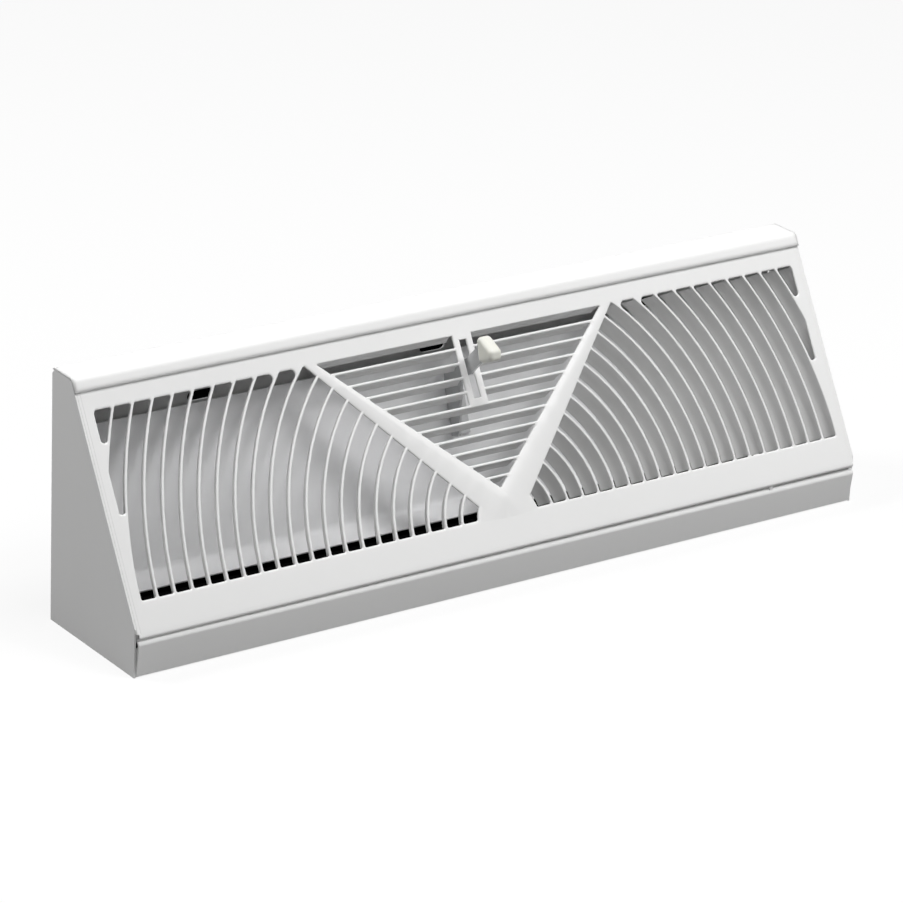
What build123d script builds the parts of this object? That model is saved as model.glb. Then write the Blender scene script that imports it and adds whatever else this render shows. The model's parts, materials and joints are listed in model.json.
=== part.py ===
from build123d import *
import math
import os

os.makedirs("parts", exist_ok=True)

# Millimetres, +Z up, +Y towards the wall, origin at the middle of the base.

# Overall size and sheet
length = 381.0
height = 113.4
depth = 69.4
sheet = 0.8
bend = 1.2

# Top ledge, nose and wall flange
ledge_depth = 19.0
nose_drop = 5.7
nose_radius = 2.6
wall_bend = 1.6
flange_drop = 47.0
lip_gap = 0.1

# Toe plate
toe_height = 16.2
toe_setback = 1.2
toe_radius = 2.2
toe_inset = 2.6
toe_return = 7.0
toe_foot = 10.0
tab_x = 147.0
tab_width = 1.8

# Sloping face
groove = 1.0
hem_radius = 1.2
hem_return = 5.0
face_flange = 9.0
side_radius = 1.6
side_flange = 8.0

# Slot field on the face, measured up the slope from its lower edge
field_low = 14.1
field_high = 94.2
field_half = 184.0
fan_centre = 11.3
fan_radius = 16.05
fan_pitch = 8.47
fan_slots = 22
rib = 1.2
vane_angle = 32.0
vane_gap = 0.25

# V of the fan and its level slots
v_apex = 25.8
v_top_half = 75.0
v_outer_x = 14.5
v_outer_s = 20.8
v_outer_top = 80.8
row_first = 30.8
row_pitch = 6.39
row_ribs = 10
row_rib = 1.2
frame_row = 5

# Lever slot and its frame
lever_low = 65.9
lever_high = 91.9
lever_half = 1.7
frame_half = 5.0

# End caps
seam = 0.2
cap_flange = 10.0
cap_back_top = 60.0
cap_front_top = 13.0

# Wall screws
screw_x = 119.0
screw_z = 88.0
screw_width = 4.4
screw_slot = 13.0
pilot_z = 79.0
pilot_radius = 1.4

# Damper hinge
rod_radius = 1.5
rod_fit = 0.01
hinge_clearance = 0.05
lug_depth = 16.0
lug_low = 67.0
lug_high = 84.0
pivot_reach = 25.0

# Damper blade
blade_lean = 19.5
blade_drop = 52.8
blade_lip = 9.3
blade_turn = 40.5
blade_bend = 6.0
flap_rise = 13.0
flap_bend = 10.0
ear_radius = 4.5
blade_end_gap = 3.2

# Lever, rivets and knob
lever_sheet = 1.2
lever_width = 7.1
arm_start = 17.0
gusset_width = 6.0
foot_low = 25.0
foot_high = 6.0
foot_width = 9.0
rivet_radius = 1.5
rivet_head = 2.6
rivet_rise = 0.9
rivet_x = 5.0
rivet_inset = 4.5
lever_rise = 1.1
knob_crown_out = 14.3
knob_crown_rise = 11.9
knob_tip_out = 23.8
knob_tip_rise = 0.2
knob_heel_out = 12.0
knob_heel_rise = 0.7
knob_thick = 6.0
knob_wall = 1.3
knob_round = 1.7

wall = depth / 2
front = -depth / 2
half = length / 2
toe_front = front + toe_setback
inner = half - sheet

# The face runs from the bend of its hem to just behind the nose lip.
hem_y = front + hem_radius
hem_z = toe_height + groove + hem_radius
face_top_y = wall - ledge_depth + sheet + lip_gap
face_top_z = height - nose_drop
rise_y = face_top_y - hem_y
rise_z = face_top_z - hem_z
lean = math.atan2(rise_y, rise_z) + math.asin(hem_radius / math.hypot(rise_y, rise_z))
out_y = -math.cos(lean)
out_z = math.sin(lean)
up_y = math.sin(lean)
up_z = math.cos(lean)
face_y = hem_y + hem_radius * out_y
face_z = hem_z + hem_radius * out_z
face_length = (face_top_z - face_z) / up_z
face_plane = Plane(origin=(0, face_y, face_z), x_dir=(1, 0, 0), z_dir=(0, out_y, out_z))
side_plane = Plane(origin=(0, face_y, face_z), x_dir=(1, 0, 0), z_dir=(0, up_y, up_z))

# The hinge lies on the line square to the face through the middle of the lever slot.
lever_mid = (lever_low + lever_high) / 2
pivot_y = face_y + lever_mid * up_y - pivot_reach * out_y
pivot_z = face_z + lever_mid * up_z - pivot_reach * out_z
lean_blade = math.radians(blade_lean)
blade_back = rod_radius + hinge_clearance
blade_front = blade_back + sheet
blade_half = inner - sheet - blade_end_gap
# Along this plane x is forward off the blade and y is down along it.
blade_plane = Plane(
    origin=(0, pivot_y, pivot_z),
    x_dir=(0, -math.cos(lean_blade), math.sin(lean_blade)),
    z_dir=(1, 0, 0),
)
rivet_plane = Plane(blade_plane.origin, x_dir=(1, 0, 0), z_dir=blade_plane.x_dir)
# Along this plane x is out through the lever slot and y is down the face.
lever_plane = Plane(origin=(0, pivot_y, pivot_z), x_dir=(0, out_y, out_z), z_dir=(1, 0, 0))
lever_low_edge = lever_width / 2 - lever_rise
lever_high_edge = -lever_width / 2 - lever_rise
knob_crown = Vector(pivot_reach + knob_crown_out, -knob_crown_rise)
knob_tip = Vector(pivot_reach + knob_tip_out, -knob_tip_rise)
knob_heel = Vector(pivot_reach + knob_heel_out, -knob_heel_rise)
knob_middle = (knob_crown + knob_tip + knob_heel) / 3

# Pressed vanes: each is as wide as the slot it was cut from and turned in at the slot's outer edge.
fan_slot = fan_pitch - rib
turn = math.radians(vane_angle)
vane_in = math.sin(turn)
vane_deep = math.cos(turn)
v_slope = v_top_half / (field_high - v_apex)
v_outer_slope = (v_outer_top - v_outer_x) / (field_high - v_outer_s)
v_outer_low = v_outer_x - (v_outer_s - field_low) * v_outer_slope
row_edges = [row_first + row_pitch * i for i in range(row_ribs)]
frame_foot = row_edges[frame_row]

# Where the hem, the top flange and the end caps follow the face
hem_drop = (hem_z - hem_radius - face_z) / up_z
lip_y = face_top_y + (sheet + lip_gap) * out_y
lip_z = face_top_z + (sheet + lip_gap) * out_z
nose_y = lip_y + (height - lip_z) * up_y / up_z
flange_rise = (height - sheet - face_top_z) / up_z
cap_y = face_y - seam * out_y
cap_z = face_z - seam * out_z
cap_knee_z = cap_z + (toe_front + sheet - cap_y) * up_z / up_y
cap_top_y = cap_y + (height - sheet - cap_z) * up_y / up_z
cap_corner = nose_radius * math.tan(math.pi / 4 - lean / 2)
tab_y = toe_front + toe_radius
rivet_high = foot_high + rivet_inset
rivet_low = foot_low - rivet_inset

with BuildSketch(face_plane) as fan_zone:
    Polygon(
        (v_outer_low, field_low),
        (field_half, field_low),
        (field_half, field_high),
        (v_outer_top, field_high),
        align=None,
    )
    mirror(about=Plane.YZ)

with BuildSketch(face_plane) as fan_openings:
    for i in reversed(range(fan_slots)):
        with Locations((0, fan_centre)):
            Circle(fan_radius + fan_pitch * i + fan_slot)
            Circle(fan_radius + fan_pitch * i, mode=Mode.SUBTRACT)
    add(fan_zone.sketch_local, mode=Mode.INTERSECT)

with BuildSketch(face_plane) as row_openings:
    Polygon((0, v_apex), (v_top_half, field_high), (-v_top_half, field_high), align=None)
    for s in row_edges:
        with Locations((0, s)):
            Rectangle(length, row_rib, mode=Mode.SUBTRACT)
    with Locations((0, frame_foot)):
        Rectangle(2 * frame_half, height, align=(Align.CENTER, Align.MIN), mode=Mode.SUBTRACT)

# Fan vanes: thin cones about the fan's centre, kept inside the slots.
fan_origin = face_plane.from_local_coords((0, fan_centre, 0))
with BuildPart() as fan_vanes:
    with BuildSketch(Plane(origin=fan_origin, x_dir=(1, 0, 0), z_dir=(0, -up_y, -up_z))):
        for i in range(fan_slots):
            edge = fan_radius + fan_pitch * i + fan_slot
            Polygon(
                (edge, 0),
                (edge - fan_slot * vane_in, -fan_slot * vane_deep),
                (edge - fan_slot * vane_in + sheet * vane_deep, -fan_slot * vane_deep - sheet * vane_in),
                (edge + sheet * vane_deep, -sheet * vane_in),
                align=None,
            )
    revolve(axis=Axis(fan_origin, (0, out_y, out_z)), revolution_arc=180)
    with BuildSketch(face_plane):
        add(fan_zone.sketch_local)
        offset(amount=-vane_gap)
    extrude(amount=-2 * fan_slot, mode=Mode.INTERSECT)

# Stamped face: sloping sheet, hem, top flange, side flanges and vanes
with BuildPart() as face_grille:
    with BuildSketch(face_plane):
        Rectangle(2 * (inner - side_radius), face_length, align=(Align.CENTER, Align.MIN))
        add(fan_openings.sketch_local, mode=Mode.SUBTRACT)
        add(row_openings.sketch_local, mode=Mode.SUBTRACT)
        with Locations((0, lever_mid)):
            Rectangle(2 * lever_half, lever_high - lever_low, mode=Mode.SUBTRACT)
    extrude(amount=-sheet)
    add(fan_vanes.part)
    for i in range(row_ribs + 1):
        low = row_edges[i - 1] + row_rib / 2 if i else v_apex
        high = row_edges[i] - row_rib / 2 if i < row_ribs else field_high
        with BuildSketch(
            Plane(
                origin=face_plane.from_local_coords((0, high, 0)),
                x_dir=(1, 0, 0),
                z_dir=(0, vane_in * out_y - vane_deep * up_y, vane_in * out_z - vane_deep * up_z),
            )
        ):
            wide = (high - v_apex) * v_slope - vane_gap
            narrow = max((low - v_apex) * v_slope - vane_gap, vane_gap)
            Polygon((-wide, 0), (-narrow, low - high), (narrow, low - high), (wide, 0), align=None)
            if low > frame_foot:
                Rectangle(2 * (frame_half + vane_gap), height, mode=Mode.SUBTRACT)
        extrude(amount=-sheet)
    with BuildSketch(Plane.YZ):
        with BuildLine():
            FilletPolyline(
                (face_y + up_y, face_z + up_z),
                (face_y + hem_drop * up_y, hem_z - hem_radius),
                (hem_y + hem_return, hem_z - hem_radius),
                radius=hem_radius,
            )
            offset(amount=sheet, side=Side.LEFT)
        make_face()
        with BuildLine():
            FilletPolyline(
                (face_top_y - up_y, face_top_z - up_z),
                (face_top_y + flange_rise * up_y, height - sheet),
                (face_top_y + flange_rise * up_y + face_flange, height - sheet),
                radius=nose_radius - sheet,
            )
            offset(amount=sheet, side=Side.RIGHT)
        make_face()
    extrude(amount=inner - side_radius, both=True)
    with BuildSketch(side_plane):
        with BuildLine():
            FilletPolyline(
                (inner - 2 * side_radius, 0),
                (inner, 0),
                (inner, side_flange),
                radius=side_radius,
            )
            offset(amount=sheet, side=Side.LEFT)
        make_face()
        mirror(about=Plane.YZ)
    extrude(amount=face_length - lip_gap)
face_grille.part.label = "face_grille"
export_step(face_grille.part, "parts/face_grille.step")

# Wall plate: nose lip, ledge and wall flange in one bent strip, with a lug at each end for the hinge rod
with BuildPart() as wall_plate:
    with BuildSketch(Plane.YZ):
        with BuildLine():
            FilletPolyline(
                (lip_y, lip_z),
                (nose_y, height),
                (wall, height),
                (wall, height - flange_drop),
                radius=(nose_radius, wall_bend),
            )
            offset(amount=sheet, side=Side.RIGHT)
        make_face()
    extrude(amount=half, both=True)
    for side in (-1, 1):
        with Locations((side * half, wall, height - sheet)):
            Box(2 * (half - inner + bend), ledge_depth, 2 * flange_drop,
                align=(Align.CENTER, Align.CENTER, Align.MAX), mode=Mode.SUBTRACT)
    with BuildSketch(Plane.XY.offset(lug_low)):
        with BuildLine():
            FilletPolyline(
                (inner - 3 * bend, wall),
                (inner, wall),
                (inner, wall - lug_depth),
                radius=bend,
            )
            offset(amount=sheet, side=Side.RIGHT)
        make_face()
        mirror(about=Plane.YZ)
    extrude(amount=lug_high - lug_low)
    with BuildSketch(Plane(origin=(0, wall, 0), x_dir=(1, 0, 0), z_dir=(0, -1, 0))):
        with Locations((-screw_x, screw_z), (0, screw_z), (screw_x, screw_z)):
            SlotOverall(screw_slot, screw_width)
        with Locations((0, pilot_z)):
            Circle(pilot_radius)
    extrude(amount=2 * sheet, mode=Mode.SUBTRACT)
    with BuildSketch(Plane.YZ):
        with Locations((pivot_y, pivot_z)):
            Circle(rod_radius + rod_fit)
    extrude(amount=half, both=True, mode=Mode.SUBTRACT)
wall_plate.part.label = "wall_plate"
export_step(wall_plate.part, "parts/wall_plate.step")

# End caps: flat end panels with a foot, a wall flange and a flange that backs the toe plate
with BuildPart() as end_cap_left:
    with BuildSketch(Plane.YZ.offset(-half)):
        Polygon(
            (wall, 0),
            (toe_front + sheet, 0),
            (toe_front + sheet, cap_knee_z),
            (cap_top_y - cap_corner * up_y, height - sheet - cap_corner * up_z),
            (cap_top_y + cap_corner, height - sheet),
            (wall - wall_bend, height - sheet),
            (wall, height - sheet - wall_bend),
            align=None,
        )
    extrude(amount=sheet)
    with Locations((-half, toe_front + toe_foot + toe_inset, 0)):
        Box(cap_flange, depth - 2 * toe_foot, sheet, align=Align.MIN)
    with Locations((-half, wall - sheet, 0)):
        Box(cap_flange, sheet, cap_back_top, align=Align.MIN)
    with Locations((-half, toe_front + sheet, toe_radius + sheet)):
        Box(cap_flange, sheet, cap_front_top - toe_radius - sheet, align=Align.MIN)
end_cap_left.part.label = "end_cap_left"
export_step(end_cap_left.part, "parts/end_cap_left.step")

with BuildPart() as end_cap_right:
    mirror(end_cap_left.part, about=Plane.YZ)
end_cap_right.part.label = "end_cap_right"
export_step(end_cap_right.part, "parts/end_cap_right.step")

# Toe plate: upright strip with a rounded top return, a foot and the tabs that bridge the groove
with BuildPart() as toe_plate:
    with BuildSketch(Plane.YZ):
        with BuildLine():
            FilletPolyline(
                (toe_front + toe_return, toe_height),
                (toe_front, toe_height),
                (toe_front, 0),
                (toe_front + toe_foot, 0),
                radius=(toe_radius, bend),
            )
            offset(amount=sheet, side=Side.LEFT)
        make_face()
    extrude(amount=half - toe_inset, both=True)
    with Locations((-tab_x, tab_y, toe_height + groove), (tab_x, tab_y, toe_height + groove)):
        Box(tab_width, sheet, groove + sheet / 2, align=(Align.CENTER, Align.MIN, Align.MAX))
toe_plate.part.label = "toe_plate"
export_step(toe_plate.part, "parts/toe_plate.step")

# Hinge rod, held by the lugs
with BuildPart() as hinge_rod:
    with BuildSketch(Plane.YZ):
        with Locations((pivot_y, pivot_z)):
            Circle(rod_radius)
    extrude(amount=inner - lip_gap, both=True)
hinge_rod.part.label = "hinge_rod"
export_step(hinge_rod.part, "parts/hinge_rod.step")

# Damper blade: soft lip turned forward below, flap standing upright above, an ear on the rod at each end
turn_lip = math.radians(blade_turn)
with BuildPart() as damper_blade:
    with BuildSketch(blade_plane):
        with BuildLine():
            FilletPolyline(
                (blade_back + flap_rise * math.tan(lean_blade), -flap_rise),
                (blade_back, 0),
                (blade_back, blade_drop),
                (blade_back + blade_lip * math.sin(turn_lip), blade_drop + blade_lip * math.cos(turn_lip)),
                radius=(flap_bend, blade_bend),
            )
            offset(amount=sheet, side=Side.RIGHT)
        make_face()
    extrude(amount=blade_half, both=True)
    for side in (-1, 1):
        with BuildSketch(blade_plane.offset(side * (blade_half - sheet / 2))):
            Circle(ear_radius)
            with Locations((blade_back + sheet / 2, 0)):
                Rectangle(ear_radius, 2 * ear_radius, align=(Align.MIN, Align.CENTER), mode=Mode.SUBTRACT)
            Circle(blade_back, mode=Mode.SUBTRACT)
        extrude(amount=sheet / 2, both=True)
    with BuildSketch(rivet_plane):
        with Locations((rivet_x, -rivet_low), (rivet_x, -rivet_high)):
            Circle(rivet_radius)
    extrude(amount=blade_front + sheet, mode=Mode.SUBTRACT)
damper_blade.part.label = "damper_blade"
export_step(damper_blade.part, "parts/damper_blade.step")

# Lever: upright strip from the blade out through the lever slot, wider at its end, with a riveted foot
foot_top = lever_plane.to_local_coords(blade_plane.from_local_coords((blade_front, foot_high, 0)))
foot_end = lever_plane.to_local_coords(blade_plane.from_local_coords((blade_front, foot_low, 0)))
gusset = lever_plane.to_local_coords(blade_plane.from_local_coords((blade_front + gusset_width, foot_low, 0)))
with BuildPart() as lever_arm:
    with BuildSketch(lever_plane):
        Polygon(
            (foot_top.X, foot_top.Y),
            (foot_end.X, foot_end.Y),
            (gusset.X, gusset.Y),
            (arm_start, lever_low_edge),
            (pivot_reach, lever_low_edge),
            (knob_heel.X + knob_wall, knob_heel.Y - knob_wall),
            (knob_middle.X + knob_wall, knob_middle.Y),
            (knob_crown.X, knob_crown.Y + 2 * knob_wall),
            (pivot_reach, lever_high_edge),
            (gusset_width, lever_high_edge),
            align=None,
        )
    extrude(amount=lever_sheet / 2, both=True)
    with BuildSketch(blade_plane.offset(-lever_sheet / 2)):
        with Locations((blade_front, foot_high)):
            Rectangle(lever_sheet, foot_low - foot_high, align=(Align.MIN, Align.MIN))
    extrude(amount=foot_width + lever_sheet / 2)
    inside = blade_plane.from_local_coords((blade_front + lever_sheet, rivet_low, lever_sheet / 2))
    fillet(lever_arm.edges().sort_by_distance(inside)[0], bend / 2)
    outside = blade_plane.from_local_coords((blade_front, rivet_low, -lever_sheet / 2))
    fillet(lever_arm.edges().sort_by_distance(outside)[0], bend)
    with BuildSketch(rivet_plane):
        with Locations((rivet_x, -rivet_low), (rivet_x, -rivet_high)):
            Circle(rivet_radius)
    extrude(amount=blade_front + 2 * lever_sheet, mode=Mode.SUBTRACT)
lever_arm.part.label = "lever_arm"
export_step(lever_arm.part, "parts/lever_arm.step")

# Rivets through the lever's foot and the blade, their tails set flush
with BuildPart() as lever_rivets:
    with BuildSketch(rivet_plane.offset(blade_front + lever_sheet)):
        with Locations((rivet_x, -rivet_low), (rivet_x, -rivet_high)):
            Circle(rivet_head)
    extrude(amount=rivet_rise)
    with BuildSketch(rivet_plane.offset(blade_back)):
        with Locations((rivet_x, -rivet_low), (rivet_x, -rivet_high)):
            Circle(rivet_radius)
    extrude(amount=sheet + lever_sheet)
lever_rivets.part.label = "lever_rivets"
export_step(lever_rivets.part, "parts/lever_rivets.step")

# Knob pushed over the lever's widened end: a thick cap with a sloping top
with BuildPart() as lever_knob:
    with BuildSketch(lever_plane) as knob_side:
        Polygon((knob_crown.X, knob_crown.Y), (knob_tip.X, knob_tip.Y), (knob_heel.X, knob_heel.Y), align=None)
        fillet(knob_side.vertices(), knob_round)
    extrude(amount=knob_thick / 2, both=True)
    add(lever_arm.part, mode=Mode.SUBTRACT)
lever_knob.part.label = "lever_knob"
export_step(lever_knob.part, "parts/lever_knob.step")
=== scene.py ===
import json
import math

import bmesh
import bpy
from mathutils import Matrix, Vector
from mathutils.geometry import delaunay_2d_cdt


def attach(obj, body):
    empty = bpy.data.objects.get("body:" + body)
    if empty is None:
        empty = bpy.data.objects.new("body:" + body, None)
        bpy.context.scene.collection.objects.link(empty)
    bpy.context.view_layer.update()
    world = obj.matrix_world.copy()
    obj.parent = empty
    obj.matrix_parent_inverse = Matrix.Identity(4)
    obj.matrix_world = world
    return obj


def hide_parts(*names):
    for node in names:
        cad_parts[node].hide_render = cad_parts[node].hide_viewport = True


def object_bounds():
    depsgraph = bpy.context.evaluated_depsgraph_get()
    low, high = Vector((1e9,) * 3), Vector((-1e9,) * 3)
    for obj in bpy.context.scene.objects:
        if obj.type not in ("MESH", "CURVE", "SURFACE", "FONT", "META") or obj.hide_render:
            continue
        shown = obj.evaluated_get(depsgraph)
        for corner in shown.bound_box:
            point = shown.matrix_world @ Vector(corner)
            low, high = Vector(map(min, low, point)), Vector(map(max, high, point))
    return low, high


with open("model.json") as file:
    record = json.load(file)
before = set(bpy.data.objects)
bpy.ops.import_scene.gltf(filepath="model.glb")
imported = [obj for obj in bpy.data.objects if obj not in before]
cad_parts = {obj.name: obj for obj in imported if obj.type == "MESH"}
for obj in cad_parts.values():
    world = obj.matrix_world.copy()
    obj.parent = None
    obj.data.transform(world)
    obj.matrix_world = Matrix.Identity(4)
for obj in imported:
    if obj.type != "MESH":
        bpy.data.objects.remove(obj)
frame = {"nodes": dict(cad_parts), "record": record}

bl_info = {
    "name": "Baseboard register",
    "version": (1, 0, 0),
    "blender": (4, 5, 0),
    "location": "View3D > Sidebar > Register",
    "description": "Dresses a sheet-metal baseboard register with enamel, zinc and plastic finishes",
    "category": "Object",
}

CAD_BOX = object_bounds()
MM = 0.001
HINGE = Vector(frame["record"]["behaviour"]["joints"][0]["pos_m"])


def length(name, description, millimetres):
    """A size property given in millimetres."""
    return bpy.props.FloatProperty(
        name=name, description=description, unit="LENGTH", subtype="DISTANCE", default=millimetres * MM)


def angle(name, description, degrees):
    """An angle property given in degrees."""
    return bpy.props.FloatProperty(
        name=name, description=description, unit="ROTATION", subtype="ANGLE", default=math.radians(degrees))


def power(name, description, watts):
    """The power of a lamp."""
    return bpy.props.FloatProperty(name=name, description=description, unit="POWER", default=watts, min=0.0)


def color(name, description, value):
    """A colour property."""
    return bpy.props.FloatVectorProperty(
        name=name, description=description, subtype="COLOR", size=3, default=value, min=0.0, max=1.0)


class RegisterFinish(bpy.types.PropertyGroup):
    """Colours and textures of the finishes"""

    enamel: color("Enamel", "White baked enamel on the housing", (0.86, 0.86, 0.855))
    blade: color("Blade enamel", "Enamel on the damper blade", (0.84, 0.842, 0.85))
    zinc: color("Zinc", "Zinc plate on the rod, lever and rivets", (0.58, 0.585, 0.59))
    plastic: color("Knob plastic", "Cream plastic of the lever knob", (0.75, 0.75, 0.69))
    peel: length("Orange peel", "Width of one ripple in the enamel", 1.6)
    edge: length("Edge round", "Radius that the paint gives to pressed edges", 0.35)
    nose: length("Nose round", "Radius that the paint gives to the ledge's nose", 3.0)


class RegisterFace(bpy.types.PropertyGroup):
    """Layout of the stamped face; heights run up the slope from its lower bend"""

    sheet: length("Sheet", "Thickness of the steel", 0.8)
    hem_radius: length("Hem radius", "Outer radius of the lower bend", 1.2)
    hem_return: length("Hem return", "Width of the strip turned in below", 5.0)
    top_radius: length("Top radius", "Outer radius of the upper bend", 0.8)
    top_reach: length("Top reach", "How far the upper bend comes up towards the nose", 1.9)
    top_return: length("Top return", "Width of the strip turned in under the ledge", 8.0)
    side_radius: length("Side radius", "Outer radius of the bend at each end", 0.9)
    side_reach: length("Side reach", "How far the bend at each end comes out towards the end cap", 2.0)
    side_return: length("Side return", "Depth of the strip turned in at each end", 8.0)
    field_low: length("Field foot", "Height of the fans' lower edge", 14.1)
    field_high: length("Field top", "Height of the slots' upper edge", 94.2)
    field_half: length("Field half width", "Distance of the fans' outer edge from the middle", 184.0)
    fan_centre: length("Fan centre", "Height of the point that the fan slots run round", 11.3)
    fan_radius: length("First radius", "Inner radius of the first fan slot", 16.05)
    fan_pitch: length("Fan pitch", "Distance from one fan slot to the next", 8.47)
    fan_slots: bpy.props.IntProperty(name="Fan slots", description="Number of slots in each fan", default=22, min=1)
    rib: length("Rib", "Width of the bars between fan slots", 1.2)
    v_apex: length("V apex", "Height of the lowest point inside the V", 25.8)
    v_top_half: length("V half width", "Half width of the V at the slots' upper edge", 75.0)
    v_outer_x: length("V foot", "Distance from the middle of the lower end of the V's outer edge", 14.5)
    v_outer_s: length("V foot height", "Height of the lower end of the V's outer edge", 20.8)
    v_outer_top: length("V outer top", "Distance from the middle of the upper end of the V's outer edge", 80.8)
    row_first: length("First row", "Height of the lowest level bar", 30.8)
    row_pitch: length("Row pitch", "Distance from one level bar to the next", 6.39)
    row_bars: bpy.props.IntProperty(name="Rows", description="Number of level bars in the V", default=10, min=1)
    row_rib: length("Level bar", "Width of the level bars", 1.2)
    frame_row: bpy.props.IntProperty(
        name="Frame row", description="Level bar that the lever frame stands on", default=5, min=0)
    lever_low: length("Lever slot foot", "Height of the lever slot's lower end", 65.9)
    lever_high: length("Lever slot top", "Height of the lever slot's upper end", 91.9)
    lever_half: length("Lever slot half width", "Half width of the lever slot", 1.7)
    frame_half: length("Frame half width", "Half width of the frame round the lever slot", 5.0)
    corner: length("Corner", "Radius of the fan slots' corners", 0.9)
    v_corner: length("V corner", "Radius of the corners along the V", 0.35)
    tip: length("Narrow tip", "Radius of the fan slots' narrow tips", 1.6)
    bar_edge: length("Bar edge", "Width of the rounding along the bars", 0.42)
    end_edge: length("End edge", "Width of the rounding at the ends of the slots", 1.0)
    edge_drop: length("Edge drop", "Depth of the rounding", 0.5)
    vane_gap: length("Vane gap", "Clearance at the ends of the vanes", 0.5)
    vane_run: length("Vane run", "How far the vanes run on behind the border at each end", 3.5)
    vane_bend: length("Vane bend", "Outer radius of the bend that turns a vane in", 1.2)
    fan_angle: angle("Fan vane angle", "Mean angle of the fan vanes off the line square to the face", 25.0)
    fan_curl: angle("Fan vane curl", "Angle that a fan vane turns through from its bend to its free edge", 50.0)
    row_angle: angle("Row vane angle", "Mean angle of the level vanes off the line square to the face", 28.0)
    row_curl: angle("Row vane curl", "Angle that a level vane turns through from its bend to its free edge", 60.0)
    ridge: length("Ridge", "Height of the V's rounded back above the face", 0.8)
    ridge_apex: length("Ridge apex", "Height up the slope where the V's two backs meet", 18.6)
    ridge_foot: length("Ridge foot", "Height up the slope where the V runs out into the face", 12.4)
    ridge_gap: length("Ridge gap", "Flat left between the V's foot and the first fan slot", 3.0)


class RegisterToe(bpy.types.PropertyGroup):
    """Sizes of the toe plate"""

    inset: length("Inset", "Distance of its ends from the ends of the register", 0.9)
    setback: length("Setback", "How far the lower edge stands behind the top", 2.0)
    lift: length("Lift", "Height of the lower edge above the floor", 0.4)
    groove_left: length("Groove left", "Height of the groove under the face at the left end", 0.6)
    groove_right: length("Groove right", "Height of the groove under the face at the right end", 1.5)
    radius: length("Top radius", "Outer radius of the rounded top", 2.6)
    top_return: length("Return", "Width of the strip turned in at the top", 6.0)
    tab_place: length("Tab place", "Distance of the tab from the middle", 142.0)
    tab_width: length("Tab width", "Width of the tab that bridges the groove", 1.8)
    tab_drop: length("Tab drop", "How far the tab reaches below the face", 3.0)
    tab_front: length("Tab front", "Depth of the tab's front behind the toe", 0.6)
    tab_back: length("Tab back", "Depth of the tab's back behind the toe", 2.4)


class RegisterKnob(bpy.types.PropertyGroup):
    """Side outline of the lever knob, measured from the hinge out through the slot and up the slope"""

    crown_out: length("Crown out", "Distance of the upper corner from the hinge", 39.9)
    crown_rise: length("Crown rise", "Height of the upper corner", 14.0)
    tip_out: length("Tip out", "Distance of the tip from the hinge", 47.8)
    tip_rise: length("Tip rise", "Height of the tip", 3.2)
    chin_out: length("Chin out", "Distance of the corner under the tip from the hinge", 46.2)
    chin_rise: length("Chin rise", "Height of the corner under the tip", -0.9)
    heel_out: length("Heel out", "Distance of the lower corner from the hinge", 36.2)
    heel_rise: length("Heel rise", "Height of the lower corner", 0.2)
    thick: length("Thickness", "Width across the slot", 6.6)
    corner: length("Corner", "Radius of the side outline's corners", 2.3)
    edge: length("Edge", "Rounding of the long edges", 2.0)


class RegisterStage(bpy.types.PropertyGroup):
    """Camera, light and floor"""

    azimuth: angle("Azimuth", "Camera angle round the object", -36.13)
    elevation: angle("Elevation", "Camera angle above the horizon", 22.07)
    roll: angle("Roll", "Camera roll", 2.61)
    distance: length("Distance", "Camera distance from its target", 1843.8)
    target: bpy.props.FloatVectorProperty(
        name="Target", description="Point at the middle of the picture", unit="LENGTH", subtype="TRANSLATION",
        size=3, default=(-0.0082, 0.0047, 0.05035))
    lens: bpy.props.FloatProperty(
        name="Lens", description="Focal length on a 36 mm sensor", unit="CAMERA", default=169.6)
    top: power("Top light", "Power of the soft box overhead", 11.0)
    right: power("Right light", "Power of the soft box on the right", 12.5)
    low: power("Low light", "Power of the low soft box on the right", 3.5)
    back: power("Back light", "Power of the soft box behind on the left", 15.0)
    front: power("Front light", "Power of the low soft box in front", 2.8)
    ambient: bpy.props.FloatProperty(
        name="Ambient", description="Strength of the light from all round", default=0.04, min=0.0)
    floor: color("Floor", "Colour of the floor", (0.9, 0.9, 0.9))


def new_group(name, inputs, outputs):
    """A shader node group with its sockets, its input node and its output node."""
    tree = bpy.data.node_groups.new(name, "ShaderNodeTree")
    for label, kind, default in inputs:
        socket = tree.interface.new_socket(label, in_out="INPUT", socket_type=kind)
        socket.default_value = default
    for label, kind in outputs:
        tree.interface.new_socket(label, in_out="OUTPUT", socket_type=kind)
    return tree, tree.nodes.new("NodeGroupInput"), tree.nodes.new("NodeGroupOutput")


def link_noise(tree, coords, scale, detail, roughness):
    """A noise texture on object coordinates; scale is a socket or a number per metre."""
    noise = tree.nodes.new("ShaderNodeTexNoise")
    noise.inputs["Detail"].default_value = detail
    noise.inputs["Roughness"].default_value = roughness
    tree.links.new(coords, noise.inputs["Vector"])
    if isinstance(scale, (int, float)):
        noise.inputs["Scale"].default_value = scale
    else:
        tree.links.new(scale, noise.inputs["Scale"])
    return noise.outputs["Fac"]


def map_range(tree, value, low, high):
    """Spreads a value from 0..1 to low..high."""
    node = tree.nodes.new("ShaderNodeMapRange")
    node.inputs["To Min"].default_value = low
    node.inputs["To Max"].default_value = high
    tree.links.new(value, node.inputs["Value"])
    return node.outputs["Result"]


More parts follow.
